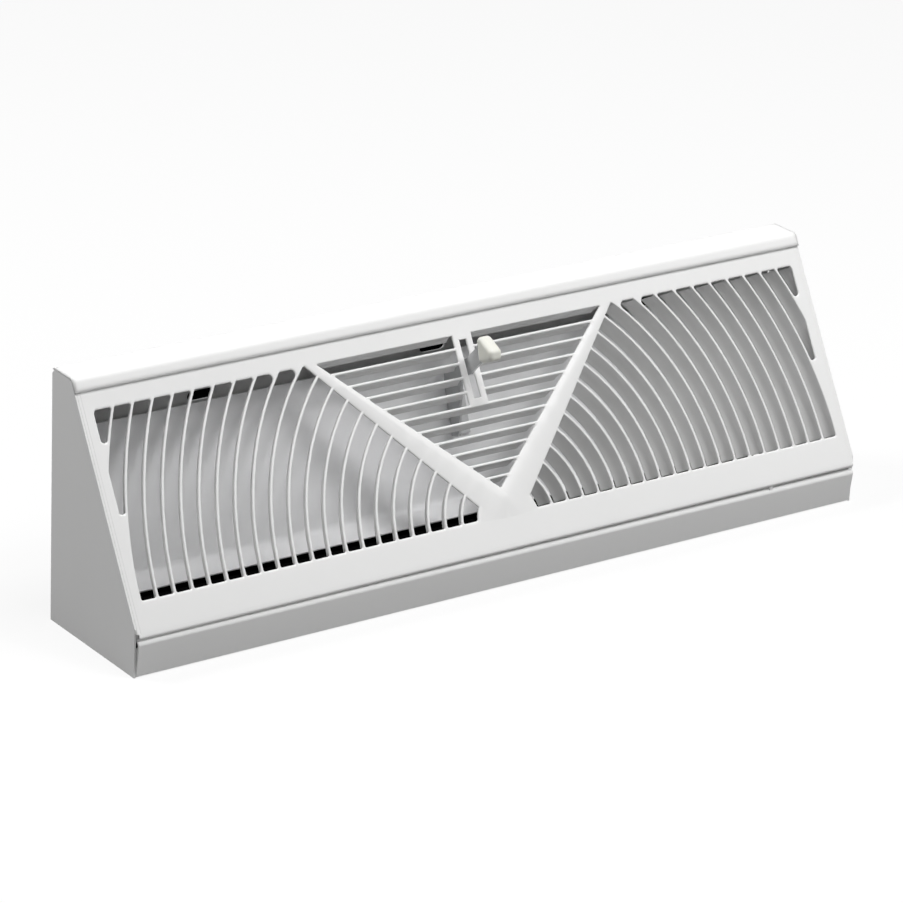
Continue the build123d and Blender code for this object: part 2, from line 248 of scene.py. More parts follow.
def paint_skin_group():
    """Baked paint: faint colour drift, uneven gloss and orange peel."""
    tree, inside, outside = new_group(
        "paint_skin",
        [
            ("Color", "NodeSocketColor", (0.86, 0.86, 0.855, 1.0)),
            ("Shade", "NodeSocketColor", (0.80, 0.80, 0.785, 1.0)),
            ("Ripple Scale", "NodeSocketFloat", 600.0),
            ("Gloss Low", "NodeSocketFloat", 0.36),
            ("Gloss High", "NodeSocketFloat", 0.48),
        ],
        [("Color", "NodeSocketColor"), ("Roughness", "NodeSocketFloat"), ("Height", "NodeSocketFloat")],
    )
    coords = tree.nodes.new("ShaderNodeTexCoord").outputs["Object"]
    drift = link_noise(tree, coords, 14.0, 3.0, 0.55)
    fleck = link_noise(tree, coords, 260.0, 2.0, 0.6)
    blend = tree.nodes.new("ShaderNodeMath")
    blend.operation = "MULTIPLY"
    tree.links.new(map_range(tree, drift, 0.0, 0.5), blend.inputs[0])
    tree.links.new(map_range(tree, fleck, 0.4, 1.0), blend.inputs[1])
    mix = tree.nodes.new("ShaderNodeMix")
    mix.data_type = "RGBA"
    tree.links.new(blend.outputs[0], mix.inputs["Factor"])
    tree.links.new(inside.outputs["Color"], mix.inputs["A"])
    tree.links.new(inside.outputs["Shade"], mix.inputs["B"])
    tree.links.new(mix.outputs["Result"], outside.inputs["Color"])
    gloss = tree.nodes.new("ShaderNodeMapRange")
    tree.links.new(link_noise(tree, coords, 40.0, 4.0, 0.6), gloss.inputs["Value"])
    tree.links.new(inside.outputs["Gloss Low"], gloss.inputs["To Min"])
    tree.links.new(inside.outputs["Gloss High"], gloss.inputs["To Max"])
    tree.links.new(gloss.outputs["Result"], outside.inputs["Roughness"])
    peel = link_noise(tree, coords, inside.outputs["Ripple Scale"], 1.5, 0.5)
    tree.links.new(peel, outside.inputs["Height"])
    return tree


def soft_edge_group():
    """Normals that turn over a pressed edge."""
    tree, inside, outside = new_group(
        "soft_edge", [("Radius", "NodeSocketFloat", 0.35 * MM)], [("Normal", "NodeSocketVector")])
    bevel = tree.nodes.new("ShaderNodeBevel")
    bevel.samples = 6
    tree.links.new(inside.outputs["Radius"], bevel.inputs["Radius"])
    tree.links.new(bevel.outputs["Normal"], outside.inputs["Normal"])
    return tree


def place_group(material, group, **values):
    """One use of a group in a material, with its own values."""
    node = material.node_tree.nodes.new("ShaderNodeGroup")
    node.node_tree = group
    for label, value in values.items():
        node.inputs[label.replace("_", " ")].default_value = value
    return node


def principled(name):
    """A new material and its shader."""
    material = bpy.data.materials.new(name)
    material.use_nodes = True
    return material, material.node_tree.nodes["Principled BSDF"]


def shared_group(name, make):
    """The group of that name, made on first use."""
    return bpy.data.node_groups.get(name) or make()


def rgba(tint):
    """A colour with full opacity."""
    return (*tint, 1.0)


def shaded(tint, share):
    """A darker tint of a colour, for a shader socket."""
    return rgba([share * c for c in tint])


def enamel_material(name, tint, finish, edge, drift=0.94):
    """White baked enamel over steel, with edges that look rounded to the radius edge and a colour that drifts."""
    material, shader = principled(name)
    links = material.node_tree.links
    skin = place_group(
        material, shared_group("paint_skin", paint_skin_group),
        Color=rgba(tint), Shade=shaded(tint, drift), Ripple_Scale=1.0 / finish.peel)
    soft = place_group(material, shared_group("soft_edge", soft_edge_group), Radius=edge)
    bump = material.node_tree.nodes.new("ShaderNodeBump")
    bump.inputs["Strength"].default_value = 0.05
    bump.inputs["Distance"].default_value = 0.1 * MM
    links.new(skin.outputs["Height"], bump.inputs["Height"])
    links.new(soft.outputs["Normal"], bump.inputs["Normal"])
    links.new(skin.outputs["Color"], shader.inputs["Base Color"])
    links.new(skin.outputs["Roughness"], shader.inputs["Roughness"])
    links.new(bump.outputs["Normal"], shader.inputs["Normal"])
    shader.inputs["Specular IOR Level"].default_value = 0.4
    return material


def zinc_material(finish):
    """Dull zinc plate with fine drawn lines along the length."""
    material, shader = principled("zinc_plate")
    tree = material.node_tree
    coords = tree.nodes.new("ShaderNodeTexCoord").outputs["Object"]
    stretch = tree.nodes.new("ShaderNodeMapping")
    stretch.inputs["Scale"].default_value = (60.0, 2600.0, 2600.0)
    tree.links.new(coords, stretch.inputs["Vector"])
    lines = link_noise(tree, stretch.outputs["Vector"], 1.0, 3.0, 0.6)
    cloud = link_noise(tree, coords, 220.0, 3.0, 0.6)
    mix = tree.nodes.new("ShaderNodeMix")
    mix.data_type = "RGBA"
    mix.inputs["A"].default_value = rgba(finish.zinc)
    mix.inputs["B"].default_value = shaded(finish.zinc, 0.72)
    tree.links.new(map_range(tree, cloud, 0.0, 0.7), mix.inputs["Factor"])
    tree.links.new(mix.outputs["Result"], shader.inputs["Base Color"])
    tree.links.new(map_range(tree, lines, 0.3, 0.55), shader.inputs["Roughness"])
    bump = tree.nodes.new("ShaderNodeBump")
    bump.inputs["Strength"].default_value = 0.1
    bump.inputs["Distance"].default_value = 0.05 * MM
    tree.links.new(lines, bump.inputs["Height"])
    tree.links.new(bump.outputs["Normal"], shader.inputs["Normal"])
    shader.inputs["Metallic"].default_value = 1.0
    return material


def plastic_material(finish):
    """Moulded cream plastic with a faint spark texture."""
    material, shader = principled("cream_plastic")
    tree = material.node_tree
    skin = place_group(
        material, shared_group("paint_skin", paint_skin_group),
        Color=rgba(finish.plastic), Shade=shaded(finish.plastic, 0.93),
        Ripple_Scale=2400.0, Gloss_Low=0.34, Gloss_High=0.46)
    bump = tree.nodes.new("ShaderNodeBump")
    bump.inputs["Strength"].default_value = 0.12
    bump.inputs["Distance"].default_value = 0.05 * MM
    tree.links.new(skin.outputs["Height"], bump.inputs["Height"])
    tree.links.new(skin.outputs["Color"], shader.inputs["Base Color"])
    tree.links.new(skin.outputs["Roughness"], shader.inputs["Roughness"])
    tree.links.new(bump.outputs["Normal"], shader.inputs["Normal"])
    shader.inputs["Subsurface Weight"].default_value = 0.08
    shader.inputs["Subsurface Radius"].default_value = (0.002, 0.002, 0.0015)
    return material


class Shell:
    """Vertices and faces of a piece while it is put together."""

    def __init__(self, origin, across, up, out):
        self.axes = (origin, across, up, out)
        self.points = []
        self.faces = []

    def point(self, x, s, h):
        """Adds the point x along the length, s up the slope and h out of the face."""
        origin, across, up, out = self.axes
        self.points.append(origin + across * x + up * s + out * h)
        return len(self.points) - 1

    def skin(self, first, second, closed=False):
        """Joins two rows of points of the same count with quads."""
        count = len(first)
        for i in range(count if closed else count - 1):
            j = (i + 1) % count
            self.faces.append((first[i], first[j], second[j], second[i]))

    def box_strip(self, front, back):
        """Closes two grids of rows, front and back of a bent strip, into one solid."""
        for grid, step in ((front, 1), (back, -1)):
            for i in range(len(grid) - 1):
                self.skin(*(grid[i], grid[i + 1])[::step])
        self.skin(back[0], front[0])
        self.skin(front[-1], back[-1])
        self.skin([row[0] for row in front], [row[0] for row in back])
        self.skin([row[-1] for row in back], [row[-1] for row in front])

    def fill(self, loops, h, turned, raised=()):
        """Fills the first loop, less the others, at the height h; raised lines lift it by their own heights."""
        flat = [Vector(p) / MM for loop in loops for p in loop]
        lifts = [0.0] * len(flat)
        rings, edges = [], []
        for loop in loops:
            start = rings[-1][-1] + 1 if rings else 0
            rings.append(list(range(start, start + len(loop))))
        for line in raised:
            edges += [(len(flat) + i, len(flat) + i + 1) for i in range(len(line) - 1)]
            flat += [Vector((x, s)) / MM for x, s, _ in line]
            lifts += [lift for _, _, lift in line]
        corners, _, triangles, origins, _, sources = delaunay_2d_cdt(flat, edges, rings, 1, 1e-6)
        index = [
            self.point(p.x * MM, p.y * MM, h + (lifts[origin[0]] if origin else 0.0))
            for p, origin in zip(corners, origins)
        ]
        for triangle, source in zip(triangles, sources):
            if len(source) == 1:
                face = [index[i] for i in triangle]
                self.faces.append(face[::-1] if turned else face)

    def finish(self, name, material, body, slot, *nodes):
        """Makes the object, smooth over bends and crisp at cut edges, in place of its CAD nodes."""
        mesh = bpy.data.meshes.new(name)
        mesh.from_pydata(self.points, [], self.faces)
        build = bmesh.new()
        build.from_mesh(mesh)
        bmesh.ops.remove_doubles(build, verts=build.verts, dist=0.002 * MM)
        bmesh.ops.dissolve_degenerate(build, edges=build.edges, dist=0.002 * MM)
        bmesh.ops.recalc_face_normals(build, faces=build.faces)
        build.to_mesh(mesh)
        build.free()
        mesh.shade_smooth()
        mesh.set_sharp_from_angle(angle=math.radians(50))
        mesh.materials.append(material)
        obj = bpy.data.objects.new(name, mesh)
        bpy.context.collection.objects.link(obj)
        weigh = obj.modifiers.new("even_normals", "WEIGHTED_NORMAL")
        weigh.keep_sharp = True
        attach(obj, body)
        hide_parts(*nodes)
        return obj


def face_axes():
    """Lower edge, directions and size of the face's flat, read from its CAD mesh."""
    obj = frame["nodes"]["face_grille"]
    mesh = obj.data
    flat = max((p for p in mesh.polygons if p.normal.y < -0.5 and p.normal.z > 0.3), key=lambda p: p.area)
    out = flat.normal.copy()
    out.x = 0.0
    out.normalize()
    across = Vector((1.0, 0.0, 0.0))
    up = out.cross(across)
    level = mesh.vertices[flat.vertices[0]].co.dot(out)
    on_flat = [v.co for v in mesh.vertices if abs(v.co.dot(out) - level) < 0.005 * MM]
    low = min(p.dot(up) for p in on_flat)
    high = max(p.dot(up) for p in on_flat)
    half = max(p.x for p in on_flat)
    return out * level + up * low, across, up, out, high - low, half


def clip(outline, a, b, c):
    """The part of a closed outline where a * x + b * s is at most c."""
    kept = []
    for i, point in enumerate(outline):
        before = outline[i - 1]
        here = a * point[0] + b * point[1] - c
        there = a * before[0] + b * before[1] - c
        if (here <= 0) != (there <= 0):
            share = there / (there - here)
            kept.append((
                before[0] + (point[0] - before[0]) * share,
                before[1] + (point[1] - before[1]) * share,
            ))
        if here <= 0:
            kept.append(point)
    return kept


def tidy_loop(outline):
    """A closed outline as vectors, counter-clockwise and without points that coincide."""
    points = []
    for p in outline:
        if not points or (Vector(p) - points[-1]).length > 0.02 * MM:
            points.append(Vector(p))
    if (points[0] - points[-1]).length < 0.02 * MM:
        points.pop()
    area = sum(points[i - 1].cross(points[i]) for i in range(len(points)))
    return points if area > 0 else points[::-1]


def walk(chain, distance):
    """What is left of a row of points after that distance along it."""
    for i in range(len(chain) - 1):
        step = (chain[i + 1] - chain[i]).length
        if step > distance:
            start = chain[i].lerp(chain[i + 1], distance / step)
            return [start] + chain[i + 1:]
        distance -= step
    return chain[-1:]


def round_corners(outline, radius):
    """A closed outline with its corners rounded; radius gives each from its place and inner angle."""
    points = tidy_loop(outline)
    count = len(points)
    turns = [
        (points[i] - points[i - 1]).angle_signed(points[(i + 1) % count] - points[i])
        for i in range(count)
    ]
    sharp = [i for i in range(count) if abs(turns[i]) > math.radians(20)]
    chains = []
    for k, i in enumerate(sharp):
        j = sharp[(k + 1) % len(sharp)]
        span = (j - i) % count or count
        chains.append([points[(i + n) % count] for n in range(span + 1)])
    trims = []
    for k, i in enumerate(sharp):
        inside = math.pi - abs(turns[i])
        reach = [sum((c[n + 1] - c[n]).length for n in range(len(c) - 1)) for c in (chains[k - 1], chains[k])]
        trims.append(min(radius(points[i], inside) / math.tan(inside / 2), 0.46 * min(reach)))
    rounded = []
    for k, chain in enumerate(chains):
        following = (k + 1) % len(chains)
        left = walk(chain, trims[k])
        left = walk(left[::-1], trims[following])[::-1]
        rounded += left
        turn = points[sharp[following]]
        start = left[-1]
        end = walk(chains[following], trims[following])[0]
        weight = math.cos(turns[sharp[following]] / 2)
        steps = 6
        for n in range(1, steps):
            u = n / steps
            parts = ((1 - u) ** 2, 2 * weight * u * (1 - u), u ** 2)
            rounded.append((start * parts[0] + turn * parts[1] + end * parts[2]) / sum(parts))
    return tidy_loop(rounded)


def mirrored(outline):
    return [(-p[0], p[1]) for p in outline]


def v_slope(face):
    """Run of the V's outer edge along the length for each step up the slope."""
    return (face.v_outer_top - face.v_outer_x) / (face.field_high - face.v_outer_s)


def fan_corner(face):
    """Radius of a fan slot's corner: small along the V, large in narrow tips."""
    def radius(point, inside):
        off = abs(point.x) - face.v_outer_x - v_slope(face) * (point.y - face.v_outer_s)
        if abs(off) < 0.1 * MM:
            return face.v_corner
        return face.tip * math.sqrt(inside / math.radians(18)) if inside < math.radians(50) else face.corner
    return radius


def fan_outlines(face):
    """Fan slots: rings round the fan's centre, kept inside the fan's field on each side of the V."""
    slope = v_slope(face)
    outlines = []
    for i in range(face.fan_slots):
        inner = face.fan_radius + face.fan_pitch * i
        outer = inner + face.fan_pitch - face.rib
        steps = max(10, round(outer / (4 * MM)))
        sweep = [0.5 * math.pi * n / steps for n in range(steps + 1)]
        ring = [(outer * math.cos(a), face.fan_centre + outer * math.sin(a)) for a in sweep]
        ring += [(inner * math.cos(a), face.fan_centre + inner * math.sin(a)) for a in reversed(sweep)]
        ring = clip(ring, 0, -1, -face.field_low)
        ring = clip(ring, 0, 1, face.field_high)
        ring = clip(ring, 1, 0, face.field_half)
        ring = clip(ring, -1, slope, slope * face.v_outer_s - face.v_outer_x)
        outlines += [ring, mirrored(ring)]
    return outlines


def row_spans(face):
    """Lower and upper edge of each level slot in the V, and whether the lever frame parts it."""
    bars = [face.row_first + face.row_pitch * i for i in range(face.row_bars)]
    lows = [face.v_apex] + [bar + face.row_rib / 2 for bar in bars]
    highs = [bar - face.row_rib / 2 for bar in bars] + [face.field_high]
    return [(low, high, i > face.frame_row) for i, (low, high) in enumerate(zip(lows, highs))]


def v_half(face, s):
    """Half width inside the V at the height s."""
    return (s - face.v_apex) * face.v_top_half / (face.field_high - face.v_apex)


def row_outlines(face):
    """Level slots inside the V, and the lever slot."""
    outlines = []
    for low, high, parted in row_spans(face):
        wide, narrow = v_half(face, high), v_half(face, low)
        if parted:
            half = [(face.frame_half, low), (narrow, low), (wide, high), (face.frame_half, high)]
            outlines += [half, mirrored(half)]
        else:
            outlines.append([(-narrow, low), (narrow, low), (wide, high), (-wide, high)])
    outlines.append([
        (-face.lever_half, face.lever_low), (face.lever_half, face.lever_low),
        (face.lever_half, face.lever_high), (-face.lever_half, face.lever_high),
    ])
    return outlines


def edge_rings(shell, face, loop, grain):
    """Rounded edge and wall of one slot; gives back its outline on the face."""
    count = len(loop)
    across, blend = 0.75, 0.2  # how square to the bars a wall counts as a bar's edge
    normals, widths = [], []
    for i in range(count):
        along = (loop[(i + 1) % count] - loop[i]).normalized() + (loop[i] - loop[i - 1]).normalized()
        along.normalize()
        normal = Vector((along.y, -along.x))
        normals.append(normal)
        share = min(max((abs(normal.dot(grain(loop[i]))) - across) / blend, 0.0), 1.0)
        widths.append(face.end_edge + (face.bar_edge - face.end_edge) * share)
    steps = 3
    rows = []
    for k in range(steps + 1):
        turn = 0.5 * math.pi * k / steps
        places = [p + n * w * (1 - math.sin(turn)) for p, n, w in zip(loop, normals, widths)]
        if k == 0:
            rim = places
        rows.append([shell.point(p.x, p.y, -face.edge_drop * (1 - math.cos(turn))) for p in places])
    rows.append([shell.point(p.x, p.y, -face.sheet) for p in loop])
    for first, second in zip(rows, rows[1:]):
        shell.skin(second, first, closed=True)
    return rim


def vane_section(face, edge, reach, lean, curl):
    """Front and back of a vane's section: bent in at the edge, then curling for the length reach."""
    steps = 5
    hidden = 0.34  # share of the bend that lies inside the bar
    leans = [lean + curl * ((n + 0.5) / steps - 0.5) for n in range(steps)]
    turn = math.pi / 2 - leans[0]
    start = edge + face.vane_bend * math.tan(turn / 2)
    front, back = [], []
    for row, radius in ((front, face.vane_bend), (back, face.vane_bend - face.sheet)):
        for n in range(4):
            angle = turn * (hidden + (1 - hidden) * n / 3)
            row.append((start - radius * math.sin(angle), radius * math.cos(angle) - face.vane_bend))
        for angle in leans:
            row.append((
                row[-1][0] - reach / steps * math.sin(angle),
                row[-1][1] - reach / steps * math.cos(angle),
            ))
    return front, back


def fan_vanes(shell, face):
    """Vanes turned in at the outer edge of each fan slot, leaning towards the fan's centre."""
    slope = v_slope(face)
    lean = math.hypot(1, slope)
    gap = face.vane_gap
    v_line = face.v_outer_x - slope * (face.v_outer_s - face.fan_centre) + gap * lean
    slot = face.fan_pitch - face.rib

    def limits(radius):
        low = math.asin((face.field_low + gap - face.fan_centre) / radius)
        side = (face.field_half + face.vane_run) / radius
        low = max(low, math.acos(side)) if side < 1 else low
        high = math.acos(v_line / (radius * lean)) - math.atan(slope)
        top = (face.field_high - gap - face.fan_centre) / radius
        high = min(high, math.asin(top)) if top < 1 else high
        return low, max(high, low + 0.001)

    for i in range(face.fan_slots):
        edge = face.fan_radius + face.fan_pitch * i + slot
        steps = max(8, round(edge / (6 * MM)))
        for side in (1, -1):
            grids = []
            for row in vane_section(face, edge, slot - face.vane_bend, face.fan_angle, face.fan_curl):
                grid = []
                for radius, h in row:
                    low, high = limits(radius)
                    angles = [low + (high - low) * n / steps for n in range(steps + 1)]
                    grid.append([
                        shell.point(side * radius * math.cos(a), face.fan_centre + radius * math.sin(a), h)
                        for a in angles
                    ])
                grids.append(grid)
            shell.box_strip(*grids[::side])


def row_vanes(shell, face):
    """Vanes that hang from the upper edge of each level slot."""
    gap = face.vane_gap
    for low, high, parted in row_spans(face):
        reach = high - low - face.vane_bend
        if reach < face.sheet:
            continue
        inner = face.frame_half + gap if parted else None
        for side in (1, -1) if parted else (1,):
            grids = []
            for row in vane_section(face, high, reach, face.row_angle, face.row_curl):
                grid = []
                for s, h in row:
                    wide = max(v_half(face, min(s, high)) - gap, gap)
                    ends = (inner, wide) if parted else (-wide, wide)
                    grid.append([shell.point(side * x, s, h) for x in ends])
                grids.append(grid)
            shell.box_strip(*grids[::side])


def bend_strip(shell, place, radius, sheet, turn, straight, lead):
    """A bent border strip: a flat lead, a bend and a straight return; place sets points along two ends."""
    grids = []
    for reach in (radius, radius - sheet):
        row = [(-lead, reach - radius)]
        steps = 6
        for n in range(steps + 1):
            angle = turn * n / steps
            row.append((reach * math.sin(angle), reach * math.cos(angle) - radius))
        row.append((row[-1][0] + straight * math.cos(turn), row[-1][1] - straight * math.sin(turn)))
        grids.append([[place(end, a, h) for end in (0, 1)] for a, h in row])
    shell.box_strip(*grids)


def ridge_lines(face):
    """Back of the V, raised above the face, and the line where it runs out under the apex."""
    top = (0.5 * (face.v_top_half + face.v_outer_top), face.field_high)
    steps = 30
    fade = 0.25  # share of the length over which the back sinks to the face
    half = []
    for n in range(steps + 1):
        share = n / steps
        lift = face.ridge * min(1.0, (1.0 - share) / fade)
        half.append((top[0] * share, face.ridge_apex + (top[1] - face.ridge_apex) * share, lift))
    back = [(-x, s, lift) for x, s, lift in reversed(half)] + half[1:]
    reach = face.fan_radius - face.ridge_gap
    foot = []
    for n in range(-6, 7):
        angle = n * math.radians(9)
        foot.append((
            reach * math.sin(angle),
            face.ridge_foot + reach * (1 - math.cos(angle)),
            0.0,
        ))
    return [back, foot]


def dress(node, material):
    """Gives a CAD node its finish."""
    obj = frame["nodes"][node]
    obj.data.materials.clear()
    obj.data.materials.append(material)
    return obj


class REGISTER_OT_housing(bpy.types.Operator):
    """Enamel on the wall plate and end caps"""

    bl_idname = "register.housing"
    bl_label = "Housing"

    def execute(self, context):
        finish = context.scene.register_finish
        enamel = enamel_material("white_enamel", finish.enamel, finish, finish.edge)
        for node in ("end_cap_left", "end_cap_right"):
            dress(node, enamel)
        dress("wall_plate", enamel_material("ledge_enamel", finish.enamel, finish, finish.nose))
        return {"FINISHED"}


class REGISTER_OT_toe(bpy.types.Operator):
    """Toe plate with a rounded top and the tab that bridges the groove"""

    bl_idname = "register.toe"
    bl_label = "Toe plate"

    def execute(self, context):
        toe = context.scene.register_toe
        face = context.scene.register_face
        finish = context.scene.register_finish
        low, high = CAD_BOX
        hem = face_axes()[0].z - face.hem_radius
        shell = Shell(Vector((0.0, low[1], 0.0)), Vector((1, 0, 0)), Vector((0, 0, 1)), Vector((0, -1, 0)))
        ends = (high[0] - toe.inset, low[0] + toe.inset)
        tops = (hem - toe.groove_right, hem - toe.groove_left)

        def place(end, a, h):
            base = tops[end] - toe.radius
            s = max(base + a, toe.lift)
            return shell.point(ends[end], s, h - toe.setback * max(1.0 - s / base, 0.0))

        bend_strip(shell, place, toe.radius, face.sheet, math.pi / 2, toe.top_return, max(tops))
        tab = [(toe.tab_place + side * toe.tab_width / 2, s) for side in (-1, 1) for s in (hem - toe.tab_drop, hem)]
        shell.box_strip(*(
            [[shell.point(x, s, -depth) for x, s in tab[i:i + 2]] for i in (2, 0)]
            for depth in (toe.tab_front, toe.tab_back)
        ))
        enamel = enamel_material("toe_enamel", finish.enamel, finish, finish.edge)
        shell.finish("toe", enamel, "housing", "white_enamel", "toe_plate")
        return {"FINISHED"}


class REGISTER_OT_face(bpy.types.Operator):
    """Stamped face with rounded slots, turned-in vanes and bent borders"""

    bl_idname = "register.face"
    bl_label = "Face grille"

    def execute(self, context):
        face = context.scene.register_face
        finish = context.scene.register_finish
        origin, across, up, out, long, half = face_axes()
        fall = math.pi / 2 + math.asin(up.y)
        rise = math.pi / 2 - math.asin(up.y)
        long += face.top_reach - face.top_radius * math.sin(rise)
        half += face.side_reach - face.side_radius
        shell = Shell(origin, across, up, out)
        centre = Vector((0.0, face.fan_centre))
        level = Vector((0.0, 1.0))
        rims, walls = [], []
        for outlines, radius, grain in (
            (fan_outlines(face), fan_corner(face), lambda p: (p - centre).normalized()),
            (row_outlines(face), lambda p, inside: face.v_corner, lambda p: level),
        ):
            for outline in outlines:
                loop = round_corners(outline, radius)
                rims.append(edge_rings(shell, face, loop, grain))
                walls.append(loop)
        lead = 1.0 * MM
        border = [(-half + lead, lead), (half - lead, lead), (half - lead, long - lead), (-half + lead, long - lead)]
        shell.fill([border] + rims, 0.0, False, ridge_lines(face))
        shell.fill([border] + walls, -face.sheet, True)
        shell.skin(
            [shell.point(x, s, 0.0) for x, s in border[::-1]],
            [shell.point(x, s, -face.sheet) for x, s in border[::-1]], closed=True)
        fan_vanes(shell, face)
        row_vanes(shell, face)
        ends = (-half, half)
        heights = (lead, long - lead)
        side = face.side_return - face.side_radius
        for place, radius, turn, straight in (
            (lambda end, a, h: shell.point(ends[end], -a, h), face.hem_radius, fall, face.hem_return),
            (lambda end, a, h: shell.point(ends[1 - end], long + a, h), face.top_radius, rise, face.top_return),
            (lambda end, a, h: shell.point(half + a, heights[end], h), face.side_radius, math.pi / 2, side),
            (lambda end, a, h: shell.point(-half - a, heights[1 - end], h), face.side_radius, math.pi / 2, side),
        ):
            bend_strip(shell, place, radius, face.sheet, turn, straight, lead)
        enamel = enamel_material("face_enamel", finish.enamel, finish, finish.edge)
        shell.finish("stamped_face", enamel, "housing", "white_enamel", "face_grille")
        return {"FINISHED"}


class REGISTER_OT_damper(bpy.types.Operator):
    """Enamel on the damper blade, zinc on its rod, lever and rivets"""

    bl_idname = "register.damper"
    bl_label = "Damper"

    def execute(self, context):
        finish = context.scene.register_finish
        dress("damper_blade", enamel_material("blade_enamel", finish.blade, finish, finish.edge, drift=0.93))
        zinc = zinc_material(finish)
        for node in ("hinge_rod", "lever_arm", "lever_rivets"):
            dress(node, zinc)
        return {"FINISHED"}


class REGISTER_OT_knob(bpy.types.Operator):
    """Moulded knob over the lever's end, with rounded edges and a sloping top"""

    bl_idname = "register.knob"
    bl_label = "Lever knob"

    def execute(self, context):
        finish = context.scene.register_finish
        knob = context.scene.register_knob
        across, up, out = face_axes()[1:4]
        shell = Shell(HINGE, out, up, across)
        loop = round_corners(
            [
                (knob.crown_out, knob.crown_rise),
                (knob.tip_out, knob.tip_rise),
                (knob.chin_out, knob.chin_rise),
                (knob.heel_out, knob.heel_rise),
            ],
            lambda p, inside: knob.corner)
        count = len(loop)
        steps = 5
        rows = []
        for k in range(2 * steps + 2):
            turn = 0.5 * math.pi * (min(k, steps) + max(k - steps - 1, 0)) / steps
            inset = knob.edge * (1 - math.sin(turn))
            h = knob.thick / 2 - knob.edge + knob.edge * math.cos(turn)
            h = h if k <= steps else -(knob.thick / 2 - knob.edge) + knob.edge * math.cos(turn)
            row = []
            for i in range(count):
                along = (loop[(i + 1) % count] - loop[i - 1]).normalized()
                place = loop[i] - Vector((along.y, -along.x)) * inset
                row.append((place, h))
            rows.append(row)
        places = [[shell.point(p.x, p.y, h) for p, h in row] for row in rows]
        for first, second in zip(places, places[1:]):
            shell.skin(second, first, closed=True)
        shell.fill([[p for p, _ in rows[0]]], knob.thick / 2, False)
        shell.fill([[p for p, _ in rows[-1]]], -knob.thick / 2, True)
        shell.finish("knob", plastic_material(finish), "damper", "cream_plastic", "lever_knob")
        return {"FINISHED"}


def area_light(name, power, size, place, aim):
    """A soft box of that width and height at place, turned towards aim."""
    lamp = bpy.data.lights.new(name, "AREA")
    lamp.energy = power
    lamp.shape = "RECTANGLE"
    lamp.size, lamp.size_y = size
    obj = bpy.data.objects.new(name, lamp)
    bpy.context.collection.objects.link(obj)
    direction = Vector(aim) - Vector(place)
    obj.matrix_world = Matrix.Translation(place) @ direction.to_track_quat("-Z", "Y").to_matrix().to_4x4()
    return obj


def seen_ray(tree):
    """1 for camera, glossy and transmission rays, 0 for the rays that carry light."""
    path = tree.nodes.new("ShaderNodeLightPath")
    first = tree.nodes.new("ShaderNodeMath")
    first.operation = "MAXIMUM"
    tree.links.new(path.outputs["Is Camera Ray"], first.inputs[0])
    tree.links.new(path.outputs["Is Glossy Ray"], first.inputs[1])
    second = tree.nodes.new("ShaderNodeMath")
    second.operation = "MAXIMUM"
    tree.links.new(first.outputs[0], second.inputs[0])
    tree.links.new(path.outputs["Is Transmission Ray"], second.inputs[1])
    return second.outputs[0]


def floor_material(tint, bounce=0.2, white_share=0.85):
    """Pale floor that looks white, keeps a soft shadow and gives little light back."""
    material, shader = principled("pale_floor")
    tree = material.node_tree
    seen = seen_ray(tree)
    shader.inputs["Roughness"].default_value = 0.9
    shader.inputs["Specular IOR Level"].default_value = 0.1
    mix = tree.nodes.new("ShaderNodeMix")
    mix.data_type = "RGBA"
    mix.inputs["A"].default_value = shaded(tint, bounce)
    mix.inputs["B"].default_value = rgba(tint)
    tree.links.new(seen, mix.inputs["Factor"])
    tree.links.new(mix.outputs["Result"], shader.inputs["Base Color"])
    white = tree.nodes.new("ShaderNodeEmission")
    blend = tree.nodes.new("ShaderNodeMixShader")
    share = tree.nodes.new("ShaderNodeMath")
    share.operation = "MULTIPLY"
    share.inputs[1].default_value = white_share
    tree.links.new(seen, share.inputs[0])
    tree.links.new(share.outputs[0], blend.inputs["Fac"])
    tree.links.new(shader.outputs["BSDF"], blend.inputs[1])
    tree.links.new(white.outputs["Emission"], blend.inputs[2])
    tree.links.new(blend.outputs["Shader"], tree.nodes["Material Output"].inputs["Surface"])
    return material


def painted_shade_material():
    """Painted shade: a near-black sheet for the shade under and behind the register, seen from its side only, that
    throws no shadow.
    """
    material, shader = principled("painted_shade_dark")
    tree = material.node_tree
    shader.inputs["Base Color"].default_value = (0.004, 0.004, 0.004, 1.0)
    shader.inputs["Roughness"].default_value = 1.0
    shader.inputs["Specular IOR Level"].default_value = 0.0
    clear = tree.nodes.new("ShaderNodeBsdfTransparent")
    geometry = tree.nodes.new("ShaderNodeNewGeometry")
    path = tree.nodes.new("ShaderNodeLightPath")
    gone = tree.nodes.new("ShaderNodeMath")
    gone.operation = "MAXIMUM"
    tree.links.new(geometry.outputs["Backfacing"], gone.inputs[0])
    tree.links.new(path.outputs["Is Shadow Ray"], gone.inputs[1])
    blend = tree.nodes.new("ShaderNodeMixShader")
    tree.links.new(gone.outputs[0], blend.inputs["Fac"])
    tree.links.new(shader.outputs["BSDF"], blend.inputs[1])
    tree.links.new(clear.outputs["BSDF"], blend.inputs[2])
    tree.links.new(blend.outputs["Shader"], tree.nodes["Material Output"].inputs["Surface"])
    return material


def stage_sheet(name, corners, material, faces=((0, 1, 2, 3),)):
    """A sheet that belongs to the stage."""
    mesh = bpy.data.meshes.new(name)
    mesh.from_pydata(corners, [], faces)
    mesh.materials.append(material)
    obj = bpy.data.objects.new(name, mesh)
    bpy.context.collection.objects.link(obj)
    return obj


